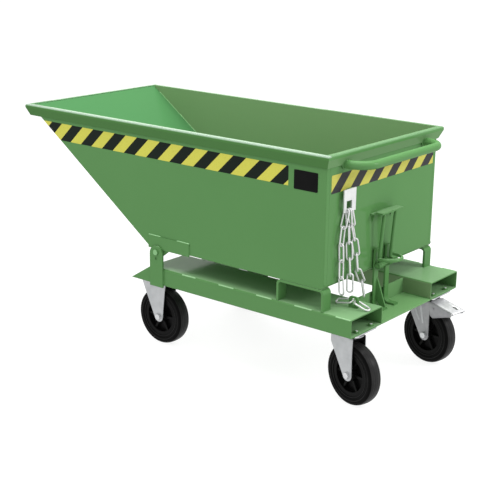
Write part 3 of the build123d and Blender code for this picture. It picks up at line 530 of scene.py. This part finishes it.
def zinc(name, dark, light, shine, hollow=None):
    """Bright zinc on pressed steel or wire; a fork's hollow, given by middle and heading, gets painted shade.
    """
    plating = Finish(name, IOR=1.6)
    cloud = plating.noise(scale=38.0, detail=3.0)
    rolled = plating.noise(scale=900.0, detail=1.0)
    grain = plating.bump(rolled, strength=0.08, distance=0.0002, below=plating.soft_edge(0.0010))
    tone = plating.mixed(cloud, dark, light)
    if hollow:
        middle, heading = hollow
        sideways = Vector((-math.sin(heading), math.cos(heading), 0.0))
        along_axle = plating.node("ShaderNodeVectorMath", {"operation": "DOT_PRODUCT"},
                                  {0: plating.place, 1: sideways}, output="Value")
        between = abs(along_axle - middle.dot(sideways)) < leg_gap_half
        below = plating.at("Z") < hollow_top
        # Painted shade: near-black between the fork's legs, below the crown.
        tone = plating.mixed(between * below, tone, (0.010, 0.010, 0.011, 1.0))
    return plating.show(Base_Color=tone, Metallic=shine + 0.10 * cloud, Roughness=0.34 + 0.14 * cloud,
                        Normal=grain)


def rubber(name, dark, light, shine):
    """Elastic black tyre rubber, matt, with a fine moulded skin and dust in the pores."""
    tyre = Finish(name, IOR=1.5, Specular_IOR_Level=shine)
    cloud = tyre.noise(scale=30.0, detail=3.0)
    skin = tyre.bump(tyre.noise(scale=700.0), strength=0.15, distance=0.0003)
    tone = tyre.mixed(cloud, dark, light)
    return tyre.show(Base_Color=tone, Roughness=0.30 + 0.15 * cloud, Normal=skin)


def moulded_black():
    """Black moulded plastic, satin, with a faint flow pattern."""
    plastic = Finish("black_plastic", IOR=1.5, Specular_IOR_Level=0.06)
    flow = plastic.noise(scale=24.0)
    skin = plastic.bump(plastic.noise(scale=500.0), strength=0.10, distance=0.0002,
                        below=plastic.soft_edge(0.0012))
    tone = plastic.mixed(flow, (0.002, 0.002, 0.002, 1.0), (0.005, 0.005, 0.005, 1.0))
    return plastic.show(Base_Color=tone, Roughness=0.28 + 0.12 * flow, Normal=skin)


castor_yaw = {"near": math.radians(-11.8), "far": math.radians(-9.6)}
plate_tones = (0.31, 0.32, 0.33, 1.0), (0.53, 0.54, 0.55, 1.0)
# Painted shade: a darker copy of the plating for the far swivel fork, the brake rod and the pedal's sides.
shaded_tones = (0.19, 0.19, 0.20, 1.0), (0.40, 0.40, 0.41, 1.0)
plated = zinc("zinc_plate", *plate_tones, 0.55)
shaded_plated = zinc("shaded_zinc", *shaded_tones, 0.45)
bright_plated = zinc("bright_zinc", (0.46, 0.47, 0.48, 1.0), (0.76, 0.76, 0.77, 1.0), 0.70)
swivel_tones = {"near": plate_tones, "far": shaded_tones}
for side, hand in SIDES:
    finish_nodes(plated, f"swivel_plate_{side}", f"swivel_pin_{side}")
    finish_nodes(bright_plated, f"axle_front_{side}", f"axle_rear_{side}")
    swivel_hollow = (middle_of(f"swivel_pin_{side}"), castor_yaw[side])
    fixed_hollow = (middle_of(f"axle_front_{side}"), 0.0)
    finish_nodes(zinc(f"swivel_fork_zinc_{side}", *swivel_tones[side], 0.50, swivel_hollow),
                 f"swivel_fork_{side}")
    finish_nodes(zinc(f"fixed_fork_zinc_{side}", *plate_tones, 0.55, fixed_hollow), f"fixed_fork_{side}")
finish_nodes(shaded_plated, "brake_rod")

# Half of the tyre's moulded section in mm, from the bead out to the middle of the tread: offset, radius
tyre_half = ((21.0, 70.1), (21.5, 70.5), (22.3, 71.6), (22.4, 73.0), (21.7, 73.9), (21.6, 75.2), (22.5, 76.3),
             (23.0, 79.0), (23.4, 83.0), (23.4, 84.6), (22.6, 85.2), (22.6, 86.2), (23.3, 86.9), (22.9, 89.6),
             (22.2, 91.8), (21.4, 93.6), (20.7, 94.1), (20.4, 95.2), (19.3, 96.7), (17.2, 97.9), (14.6, 98.8),
             (11.8, 99.4), (9.6, 99.7), (9.2, 99.3), (8.8, 99.8), (5.0, 100.0), (0.0, 100.0))
tyre_section = [(radius / 1000, offset / 1000) for offset, radius in tyre_half]
tyre_section += [(radius, -offset) for radius, offset in reversed(tyre_section[:-1])]
tread_from = 0.0972
ridges = ((0.0716, 0.0731), (0.0830, 0.0846))
tyre_finishes = []
for (radius, _), (next_radius, _) in zip(tyre_section, tyre_section[1:] + tyre_section[:1]):
    reach = (radius + next_radius) / 2
    on_ridge = any(low < reach < high for low, high in ridges)
    tyre_finishes.append(1 if reach > tread_from or on_ridge else 0)
tyre_black = rubber("tyre_rubber", (0.0015, 0.0015, 0.0015, 1.0), (0.004, 0.004, 0.004, 1.0), 0.03)
# Painted highlight: the tread and the two moulded ridges are a lighter black than the sidewalls.
lit_tread_black = rubber("lit_tread_rubber", (0.004, 0.004, 0.004, 1.0), (0.030, 0.030, 0.030, 1.0), 0.08)
wheel_black = moulded_black()
for side, hand in SIDES:
    for end, heading in (("rear", castor_yaw[side]), ("front", 0.0)):
        axle = Vector((-math.sin(heading), math.cos(heading), 0.0))
        mesh = bmesh.new()
        turned(mesh, middle_of(f"tyre_{end}_{side}"), axle, tyre_section, count=80, finishes=tyre_finishes)
        moulded = piece(f"moulded_tyre_{end}_{side}", mesh, [tyre_black, lit_tread_black], f"wheel_{end}_{side}")
        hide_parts(f"tyre_{end}_{side}")
        finish_nodes(wheel_black, f"wheel_{end}_{side}")


# Castor bolts and bracket plugs: zinc-plated bolts up through the castor plates, with nuts inside the tubes
# that were painted over, so only the bolts' ends are bright, in a near-white zinc that is a painted
# highlight; a small painted plug closes the hole in each pivot bracket.
def nut(mesh, centre, low, high, across):
    """Hexagon nut or bolt head with a chamfered top."""
    chamfer, top_share = 0.0012, 0.92
    outer, inner = across / 2 / math.cos(math.pi / 6), across / 2 * top_share
    rims = []
    for radius, height in ((outer, low), (outer, high - math.copysign(chamfer, high - low)), (inner, high)):
        rims.append([mesh.verts.new((centre.x + radius * math.cos(math.pi * step / 3),
                                     centre.y + radius * math.sin(math.pi * step / 3), height))
                     for step in range(6)])
    for one, two in zip(rims, rims[1:]):
        for step in range(6):
            following = (step + 1) % 6
            mesh.faces.new((one[step], one[following], two[following], two[step]))
    mesh.faces.new(list(reversed(rims[0])))
    mesh.faces.new(rims[-1])


# Painted highlight: the bolt ends are a near-white zinc.
highlit_bolt_plated = zinc("highlit_bolt_zinc", (0.86, 0.87, 0.88, 1.0), (0.97, 0.97, 0.98, 1.0), 0.60)
bolt_low, bolt_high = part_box("castor_bolts_near")
plate_thickness, tube_thickness = 0.004, 0.004
plate_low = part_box("swivel_plate_near")[1].z - plate_thickness
tube_floor = beam_low.z + tube_thickness
grid_along, grid_across = 0.105, 0.080
bolt_radius, bolt_start, bolt_end, across_flats, nut_height = 0.005, 0.002, 0.0015, 0.017, 0.006
shank = (plate_low, plate_low + bolt_start, bolt_high.z - bolt_end, bolt_high.z)
plug_z = 0.338
plug_section = ((0.0, -0.0016), (0.0030, -0.0018), (0.0044, -0.0028), (0.0044, -0.0055), (0.0, -0.0055))
for side, hand in SIDES:
    bolts, nuts = bmesh.new(), bmesh.new()
    for castor in (middle_of(f"swivel_pin_{side}"), middle_of(f"axle_front_{side}")):
        for along in (-grid_along / 2, grid_along / 2):
            for across in (-grid_across / 2, grid_across / 2):
                at = Vector((castor.x + along, castor.y + across, 0.0))
                nut(bolts, at, plate_low, bolt_low.z, across_flats)
                sweep(bolts, [Vector((at.x, at.y, height)) for height in shank], bolt_radius, count=14)
                nut(nuts, at, tube_floor, tube_floor + nut_height, across_flats)
    bolted = piece(f"castor_bolting_{side}", bolts, [highlit_bolt_plated], "chassis", smooth=False)
    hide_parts(f"castor_bolts_{side}")
    piece(f"castor_nuts_{side}", nuts, [green], "chassis", smooth=False)
    bracket_low, bracket_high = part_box(f"pivot_bracket_{side}")
    outer_y = bracket_high.y if hand > 0 else bracket_low.y
    mesh = bmesh.new()
    turned(mesh, Vector(((bracket_low.x + bracket_high.x) / 2, outer_y, plug_z)), Vector((0.0, hand, 0.0)),
           plug_section, count=20)
    piece(f"bracket_plug_{side}", mesh, [green], "chassis")


# Brake pedal and fork pressings: the pedal is one pressed channel with rounded shoulders, two stiffening
# ridges, a slot and a curled lip for the toe; its flat top is a bright zinc as painted light, and its
# shoulders, skirts and curled lip a darker zinc as painted shade. Pressed ribs stiffen the braked fork, in a
# lighter zinc than the fork as painted light, and the crown of the other swivel fork has a rolled rim.
def castor_seat(side):
    """Place and heading of a swivel castor."""
    pin = middle_of(f"swivel_pin_{side}")
    return Matrix.Translation((pin.x, pin.y, 0.0)) @ Matrix.Rotation(castor_yaw[side], 4, "Z")


# Measured along from the kingpin, up from the ground, and down from the top for the shoulders and the lip
pedal_start, pedal_top, pedal_fall, pedal_half = 0.049, 0.225, 0.18557, 0.0329
pedal_plate = 0.0023
station_gap, station_count = 0.0022, 42
skirt_end = 0.1395
skirt_foot = ((pedal_start, 0.178), (0.064, 0.170), (skirt_end, 0.194))
skirt_head = 0.0036
shoulder = ((0.0322, 0.0014), (0.0306, 0.0003))
curled_lip = ((0.1412, 0.0001), (0.1440, 0.0010), (0.1457, 0.0032), (0.1454, 0.0058), (0.1432, 0.0070),
              (0.1410, 0.0062))
flat = (-0.0285, -0.0240, -0.0225, -0.0205, -0.0190, -0.0090, 0.0, 0.0070, 0.0150, 0.0190, 0.0205, 0.0225,
        0.0240, 0.0285)
ridge_rise, ridge_start, ridge_end, ridge_inner, ridge_outer = 0.0009, 0.074, 0.134, 0.0200, 0.0230
slot_start, slot_end, slot_from = 0.1095, 0.1310, 0.0070
lit_lip_drop = 0.002
skirt_points = 3
first_flat = skirt_points + len(shoulder)
slot_strip = first_flat + flat.index(slot_from)
stations = [(pedal_start + station_gap * step, 0.0) for step in range(station_count)] + list(curled_lip)
far_seat = castor_seat("far")
mesh = bmesh.new()
rows = []
for along, drop in stations:
    top = pedal_top - (along - pedal_start) * pedal_fall - drop
    raised = ridge_rise if ridge_start < along < ridge_end else 0.0
    row = [(-across, top - sunk) for across, sunk in shoulder]
    row += [(across, top + (raised if ridge_inner < abs(across) < ridge_outer else 0.0)) for across in flat]
    row += [(across, top - sunk) for across, sunk in reversed(shoulder)]
    if along < skirt_end and not drop:
        (first, first_low), (last, last_low) = skirt_foot[:2] if along < skirt_foot[1][0] else skirt_foot[1:]
        low = first_low + (along - first) / (last - first) * (last_low - first_low)
        heights = [low, (low + top) / 2, top - skirt_head]
        row = ([(-pedal_half, height) for height in heights] + row
               + [(pedal_half, height) for height in reversed(heights)])
    else:
        row = [None] * skirt_points + row + [None] * skirt_points
    rows.append([mesh.verts.new(far_seat @ Vector((along, *point))) if point else None for point in row])
for one, two, (along, drop) in zip(rows, rows[1:], stations):
    for step in range(len(one) - 1):
        corners = (one[step], one[step + 1], two[step + 1], two[step])
        in_slot = step == slot_strip and slot_start < along < slot_end
        if None in corners or in_slot:
            continue
        # Painted light and shade: the flat top takes the bright zinc, the shoulders, skirts and curled lip
        # the darker one.
        on_top = first_flat <= step < first_flat + len(flat) - 1 and drop < lit_lip_drop
        mesh.faces.new(corners).material_index = 0 if on_top else 1
lit_pedal_plated = zinc("lit_pedal_zinc", (0.50, 0.51, 0.52, 1.0), (0.90, 0.90, 0.91, 1.0), 0.70)
pressed_pedal = piece("pressed_pedal", mesh, [lit_pedal_plated, shaded_plated], "brake")
channel = pressed_pedal.modifiers.new("plate", "SOLIDIFY")
channel.thickness = pedal_plate
channel.offset = -1.0
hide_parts("brake_pedal")

fork_face, rib_radius, rib_sunk = 0.0300, 0.0042, 0.0016
rib_lines = (((0.006, 0.206), (0.022, 0.138)), ((-0.022, 0.200), (0.006, 0.146)))
mesh = bmesh.new()
for (start_x, start_z), (end_x, end_z) in rib_lines:
    for face_y in (rib_sunk - fork_face, fork_face - rib_sunk):
        first, last = Vector((start_x, face_y, start_z)), Vector((end_x, face_y, end_z))
        sweep(mesh, [far_seat @ point for point in spaced(first, last, steps=12)], rib_radius, count=12)
# Painted light: the far fork's ribs take the lighter zinc against the fork's darker one.
piece("fork_ribs_far", mesh, [plated], "swivel_far")

crown_radius, crown_z, crown_roll = 0.0478, 0.2232, 0.0018
near_seat = castor_seat("near")
mesh = bmesh.new()
crown_edge = [near_seat @ point for point in level_arc(crown_radius, crown_z, range(-36, 37, 4))]
sweep(mesh, crown_edge, crown_roll, count=12)
piece("rolled_crown", mesh, [plated], "swivel_near")


# Hazard tape: self-adhesive warning tape, yellow and near-black slanted bars on a thin plastic film with a
# fine embossed cell pattern, stuck along both sides and across the rear wall below the rim.
def film(name, dark, light):
    """Printed plastic film with a fine cell emboss."""
    tape = Finish(name, IOR=1.45, Specular_IOR_Level=0.08)
    cells = tape.node("ShaderNodeTexVoronoi", {"feature": "DISTANCE_TO_EDGE"},
                      {"Vector": tape.place, "Scale": 330.0})
    cloud = tape.noise(scale=14.0)
    cell_edge = tape.ramp(cells, 0.0, 0.12)
    tone = tape.mixed(0.65 * cell_edge + 0.35 * cloud, dark, light)
    skin = tape.bump(cell_edge, strength=0.08, distance=0.0002)
    return tape.show(Base_Color=tone, Roughness=0.36 + 0.10 * cloud, Normal=skin)


bar_lean = 1.04
tape_lift, film_thickness = 0.0003, 0.0002


def hazard_tape(name, corners, bar_edge, at, bar_pitch, films):
    """Tape cut to an outline given along and up the wall; `at` places a point of it on the wall."""
    start = bar_edge.x - bar_lean * bar_edge.y
    mesh = bmesh.new()
    mesh.faces.new([mesh.verts.new((along, up, 0.0)) for along, up in corners])
    low = min(along - bar_lean * up for along, up in corners)
    high = max(along - bar_lean * up for along, up in corners)
    across = Vector((1.0, -bar_lean, 0.0))
    bar = bar_pitch / 2
    for number in range(int((low - start) / bar) - 2, int((high - start) / bar) + 3):
        bmesh.ops.bisect_plane(mesh, geom=mesh.verts[:] + mesh.edges[:] + mesh.faces[:],
                               plane_co=(start + number * bar, 0.0, 0.0), plane_no=across)
    for face in mesh.faces:
        middle = face.calc_center_median()
        face.material_index = math.floor((middle.x - bar_lean * middle.y - start) / bar) % 2
    for vert in mesh.verts:
        vert.co = at(vert.co.x, vert.co.y)
    made = piece(name, mesh, films, "hopper", smooth=False)
    film_body = made.modifiers.new("film", "SOLIDIFY")
    film_body.thickness = film_thickness
    film_body.offset = 0.0


side_films = [film("tape_yellow", (0.415, 0.402, 0.062, 1.0), (0.540, 0.527, 0.085, 1.0)),
              film("tape_dark", (0.004, 0.008, 0.005, 1.0), (0.008, 0.013, 0.009, 1.0))]
# The rear wall's copy of the same tape: a darker yellow as painted shade and a paler black as painted light.
rear_light_and_shade_films = [film("rear_tape_yellow_shaded", (0.370, 0.355, 0.066, 1.0), (0.470, 0.452, 0.090, 1.0)),
              film("rear_tape_dark_lit", (0.024, 0.024, 0.025, 1.0), (0.036, 0.036, 0.038, 1.0))]
# On each wall the edge of one bar runs through the point named bar_edge
side_tape_low, side_tape_high, side_pitch = 0.6755, 0.7355, 0.1036
side_tape_end = rim_low.x + 1.1635
side_bar_edge = Vector((rim_low.x + 0.246, 0.707))
slope_at_low = foot_x - (side_tape_low - floor_z) / slope_rise
slope_at_high = foot_x - (side_tape_high - floor_z) / slope_rise
side_outline = [(slope_at_low, side_tape_low), (side_tape_end, side_tape_low),
                (side_tape_end, side_tape_high), (slope_at_high, side_tape_high)]
for side, hand in SIDES:
    hazard_tape(f"tape_{side}", side_outline, side_bar_edge,
                lambda along, up: (along, hand * (wall_y + tape_lift), up), side_pitch, side_films)
rear_tape_low, rear_tape_high, rear_pitch = 0.666, 0.722, 0.1022
rear_tape_near, rear_tape_far = -0.290, 0.296
rear_bar_edge = Vector((-0.0295, 0.676))
rear_outline = [(rear_tape_near, rear_tape_low), (rear_tape_far, rear_tape_low),
                (rear_tape_far, rear_tape_high), (rear_tape_near, rear_tape_high)]
hazard_tape("tape_rear", rear_outline, rear_bar_edge,
            lambda along, up: (rear_x + tape_lift, along, up), rear_pitch, rear_light_and_shade_films)


# Bare plate: a small black plastic plate stuck on the near side behind the tape, rounded at its corners and
# left blank.
blank_low, blank_high = Vector((rim_low.x + 1.185, 0.670)), Vector((rim_low.x + 1.2725, 0.729))
blank_round, blank_gap, blank_thickness = 0.003, 0.0002, 0.0008
mesh = bmesh.new()
outline = []
for corner_x, corner_z, first in ((blank_high.x, blank_high.y, 0), (blank_low.x, blank_high.y, 90),
                                  (blank_low.x, blank_low.y, 180), (blank_high.x, blank_low.y, 270)):
    middle_x = corner_x - math.copysign(blank_round, corner_x - (blank_low.x + blank_high.x) / 2)
    middle_z = corner_z - math.copysign(blank_round, corner_z - (blank_low.y + blank_high.y) / 2)
    for step in range(5):
        angle = math.radians(first + 90 * step / 4)
        outline.append(mesh.verts.new((middle_x + blank_round * math.cos(angle), -wall_y - blank_gap,
                                       middle_z + blank_round * math.sin(angle))))
raised = bmesh.ops.extrude_face_region(mesh, geom=[mesh.faces.new(outline)])
bmesh.ops.translate(mesh, vec=(0.0, -blank_thickness, 0.0),
                    verts=[part for part in raised["geom"] if isinstance(part, bmesh.types.BMVert)])
piece("blank_plate", mesh, [wheel_black], "hopper", smooth=False)


# Chain and hanger: bright galvanised long-link chain, butt-welded from round wire, in three lengths that hang
# side by side in a slotted plate on the rear wall, and the two links that lie on the eye plate below.
galvanised = zinc("galvanised_wire", (0.52, 0.53, 0.53, 1.0), (0.74, 0.74, 0.74, 1.0), 0.55)
finish_nodes(galvanised, "chain_hanger")
wire_slim, weld_swell = 0.93, 1.05
weld_heights = (-0.0028, -0.0014, 0.0, 0.0014, 0.0028)


def link(mesh, seat, thickness, width, length):
    """One link of round wire, upright in its seat's YZ plane, with its weld at one side."""
    radius = (width - thickness) / 2
    straight = (length - width) / 2
    path = []
    for end, start in ((1, 0.0), (-1, math.pi)):
        for step in range(13):
            angle = start + math.pi * step / 12
            height = radius * math.sin(angle) + end * straight
            path.append(seat @ Vector((0.0, radius * math.cos(angle), height)))
    sweep(mesh, path, thickness / 2 * wire_slim, count=10, closed=True)
    weld = [seat @ Vector((0.0, radius, height)) for height in weld_heights]
    sweep(mesh, weld, thickness / 2 * weld_swell, count=10)


def hung(start, lean, fall):
    """Point a given length down a line that leans sideways from its start."""
    return Vector((start.x, start.y + fall * math.sin(lean), start.z - fall * math.cos(lean)))


wire, chain_pitch, chain_width, chain_play = 0.006, 0.054, 0.024, 0.0013
link_length = chain_pitch + 2 * wire
link_half = (chain_pitch + wire) / 2
link_step = chain_pitch - chain_play
plate_half, slot_aside, slot_sill, slot_play = 0.002, 0.004, 0.005, 0.0012
slot = Vector((hanger_high.x - plate_half, (hanger_low.y + hanger_high.y) / 2 - slot_aside,
               hanger_low.z + slot_sill + slot_play + wire / 2))
# Each length: its place across the slot, then each link's turn about its own length and its lean, in degrees
strands = {
    "near": (-0.0077, (8.0, 88.0, 170.0, 85.0, 172.0), (-18.0, -8.0, 4.0, 2.0, 6.0)),
    "middle": (-0.0007, (17.6, 115.0, 35.0, 120.0, 35.0), (7.0, 4.0, 6.0, 7.0, 2.0)),
    "far": (0.0065, (17.6, 115.0, 35.0, 120.0, 35.0, 118.0), (17.0, 18.0, 16.0, 10.0, 32.0, 16.0)),
}
for side, (aside, turns, leans) in strands.items():
    mesh = bmesh.new()
    at = slot + Vector((0.0, aside, 0.0))
    for number, (turn, lean) in enumerate(zip(turns, leans)):
        lean = math.radians(lean)
        at = hung(at, lean, link_step / 2 if number else link_half)
        seat = (Matrix.Translation(at) @ Matrix.Rotation(lean, 4, "X")
                @ Matrix.Rotation(math.radians(turn - 90.0), 4, "Z"))
        link(mesh, seat, wire, chain_width, link_length)
        at = hung(at, lean, link_step / 2)
    strand = piece(f"chain_links_{side}", mesh, [galvanised], "chain")
    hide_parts(f"chain_{side}")

# The links on the eye plate start in its hole and slope down until they touch the tube
eye_up, eye_reach, rest_gap = 0.020, 0.005, 0.0004
eye_x, eye_y, eye_z = (eye_low.x + eye_high.x) / 2, (eye_low.y + eye_high.y) / 2, eye_low.z + eye_up
for end, thickness, width, length, heading, tilt in (
        ("front", wire, chain_width, link_length, -1, math.radians(-28.0)),
        ("rear", 0.007, 0.030, 0.060, 1, 0.0)):
    mesh = bmesh.new()
    reach = length - thickness
    fall = eye_up - thickness / 2 - rest_gap - (width - thickness) / 2 * abs(math.sin(tilt))
    run = math.sqrt(reach ** 2 - fall ** 2)
    forward = Vector((heading * run, 0.0, -fall)).normalized()
    upright = Vector((fall, 0.0, heading * run)).normalized()
    sideways = forward.cross(upright)
    centre = Vector((eye_x + heading * (eye_reach + run / 2), eye_y, eye_z - fall / 2))
    seat = Matrix.Translation(centre) @ Matrix((upright, sideways, forward)).transposed().to_4x4()
    link(mesh, seat @ Matrix.Rotation(tilt, 4, "Z"), thickness, width, length)
    lying = piece(f"lying_link_{end}", mesh, [galvanised], "chassis")
    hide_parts(f"chain_end_{end}")


# Studio: a wide pale floor under an even white tent of light, with a large soft lamp overhead, one towards
# the handle end and one on the far side beyond the lip. The camera stands where the photograph's did.
floor_half = 30.0
floor_mesh = bmesh.new()
bmesh.ops.create_grid(floor_mesh, x_segments=8, y_segments=8, size=floor_half)
floor_data = bpy.data.meshes.new("floor")
floor_mesh.to_mesh(floor_data)
floor_mesh.free()
floor = bpy.data.objects.new("floor", floor_data)
bpy.context.scene.collection.objects.link(floor)
pale = Finish("pale_floor", IOR=1.4, Emission_Color=(1.0, 1.0, 1.0, 1.0), Emission_Strength=0.88)
pale_tone = pale.mixed(pale.noise(scale=2.0), (0.16, 0.16, 0.16, 1.0), (0.18, 0.18, 0.18, 1.0))
floor_data.materials.append(pale.show(Base_Color=pale_tone, Roughness=0.75 + 0.1 * pale.noise(scale=40.0)))

world = bpy.data.worlds.new("tent")
world.use_nodes = True
tent = world.node_tree.nodes["Background"]
tent.inputs["Color"].default_value = (1.0, 1.0, 1.0, 1.0)
tent.inputs["Strength"].default_value = 1.0
bpy.context.scene.world = world


def soft_lamp(name, place, aim, size, power):
    """A square softbox turned to a point."""
    data = bpy.data.lights.new(name, "AREA")
    data.shape = "SQUARE"
    data.size = size
    data.energy = power
    lamp = bpy.data.objects.new(name, data)
    lamp.location = place
    lamp.rotation_euler = (Vector(aim) - Vector(place)).to_track_quat("-Z", "Y").to_euler()
    bpy.context.scene.collection.objects.link(lamp)


soft_lamp("overhead", place=(0.0, -0.2, 2.9), aim=(0.0, 0.0, 0.5), size=3.0, power=110.0)
soft_lamp("handle_end", place=(2.9, 1.2, 2.0), aim=(0.6, 0.0, 0.3), size=0.8, power=38.0)
soft_lamp("behind", place=(-2.6, 2.6, 1.3), aim=(0.0, 0.0, 0.3), size=1.8, power=30.0)

camera_place = (2.40869, -2.96769, 1.47212)
azimuth, elevation, roll = math.radians(37.3748), math.radians(16.5139), math.radians(1.1565)
camera_data = bpy.data.cameras.new("camera")
camera_data.sensor_width = 36.0
camera_data.lens = 83.623
camera_data.shift_x = -0.0673
camera = bpy.data.objects.new("camera", camera_data)
forward = Vector((-math.sin(azimuth) * math.cos(elevation), math.cos(azimuth) * math.cos(elevation),
                  -math.sin(elevation)))
level = Vector((math.cos(azimuth), math.sin(azimuth), 0.0))
plumb = level.cross(forward)
right = level * math.cos(roll) + plumb * math.sin(roll)
upward = plumb * math.cos(roll) - level * math.sin(roll)
turn = Matrix((right, upward, -forward)).transposed().to_4x4()
camera.matrix_world = Matrix.Translation(camera_place) @ turn
bpy.context.scene.collection.objects.link(camera)
bpy.context.scene.camera = camera
bpy.context.scene.view_settings.view_transform = "Standard"
